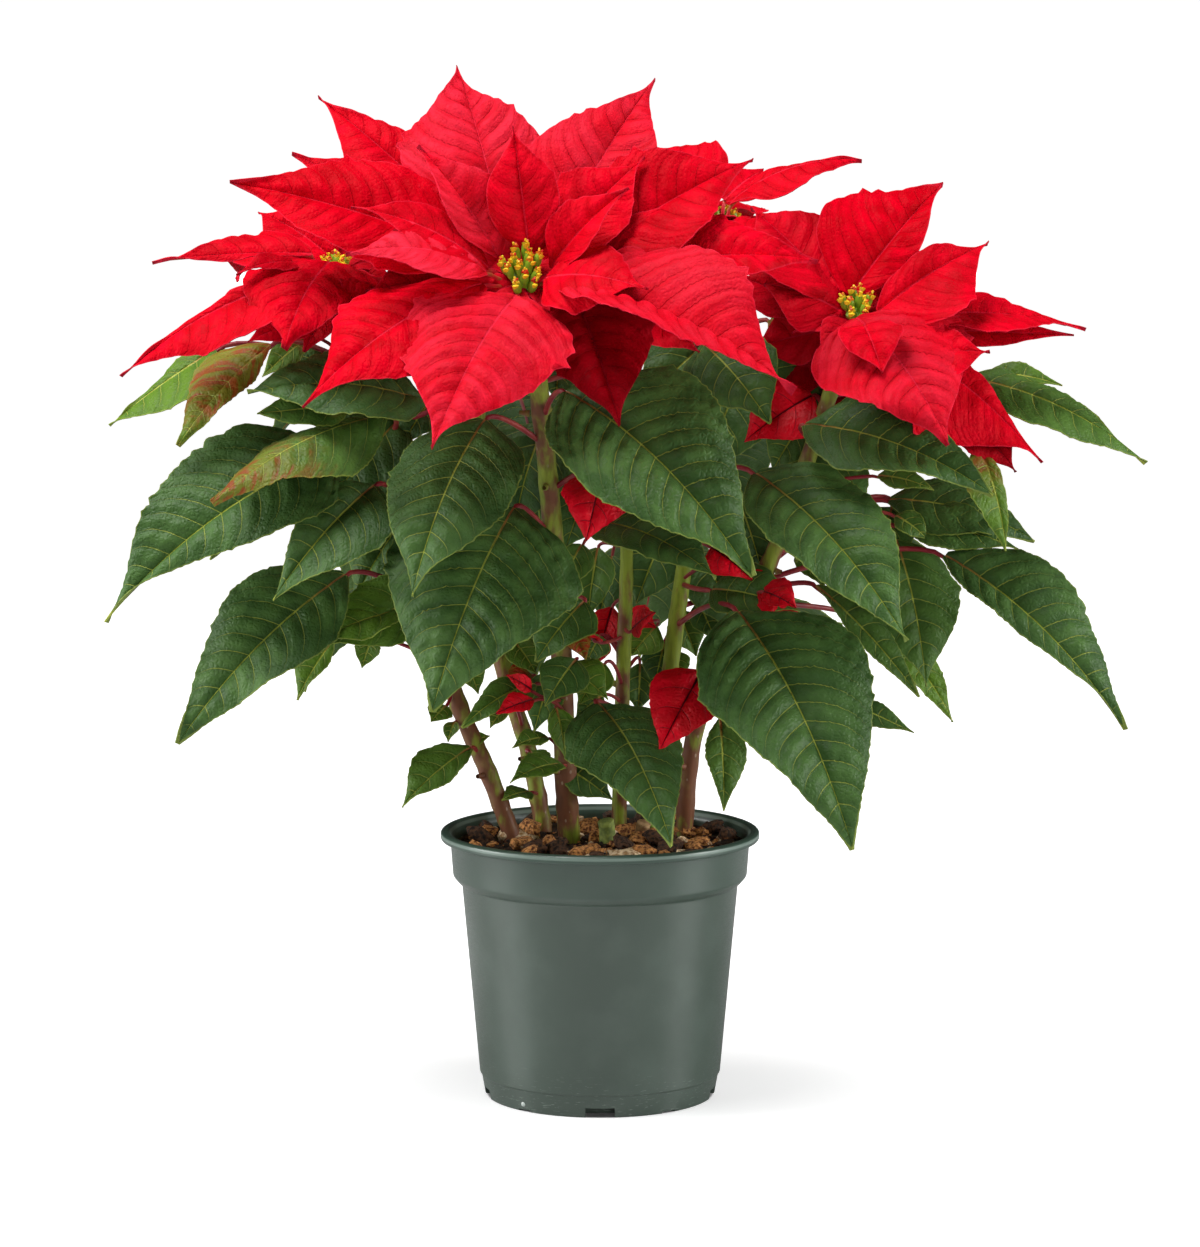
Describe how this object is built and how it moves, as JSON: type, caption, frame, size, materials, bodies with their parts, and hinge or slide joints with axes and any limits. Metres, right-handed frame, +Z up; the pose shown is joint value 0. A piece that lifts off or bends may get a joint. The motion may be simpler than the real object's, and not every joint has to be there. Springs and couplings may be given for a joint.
{
  "type": "poinsettia in a nursery pot",
  "caption": "Potted poinsettia with red flower heads, green leaves on woody stems, and bark soil in a tapered plastic pot; stands on its flat base.",
  "frame": {"origin": "middle of the pot's flat underside", "axes": "+Z up, -Y towards the plant's front"},
  "size_m": [0.5311, 0.3688, 0.5325],
  "materials": {
    "pot": "satin moulded polypropylene",
    "soil": "dark peat with pine bark chips",
    "leaf": "soft satin leaf",
    "bract": "velvety matt bract",
    "cyathium": "waxy bud",
    "stem": "woody stem bark"
  },
  "bodies": {
    "root": {"pot": "pot", "soil": "soil", "stump_green": "stem", "stump_tan": "stem", "stem_front": "leaf", "stem_left": "leaf", "stem_back_left": "leaf", "stem_middle": "leaf", "stem_back_right": "leaf", "stem_right": "leaf", "bloom_front": "bract", "bloom_left": "bract", "bloom_right": "bract", "bloom_back_right": "bract", "bloom_back_left": "bract", "cyathia_front": "cyathium", "cyathia_left": "cyathium", "cyathia_right": "cyathium", "cyathia_back_right": "cyathium", "cyathia_back_left": "cyathium"}
  },
  "joints": []
}
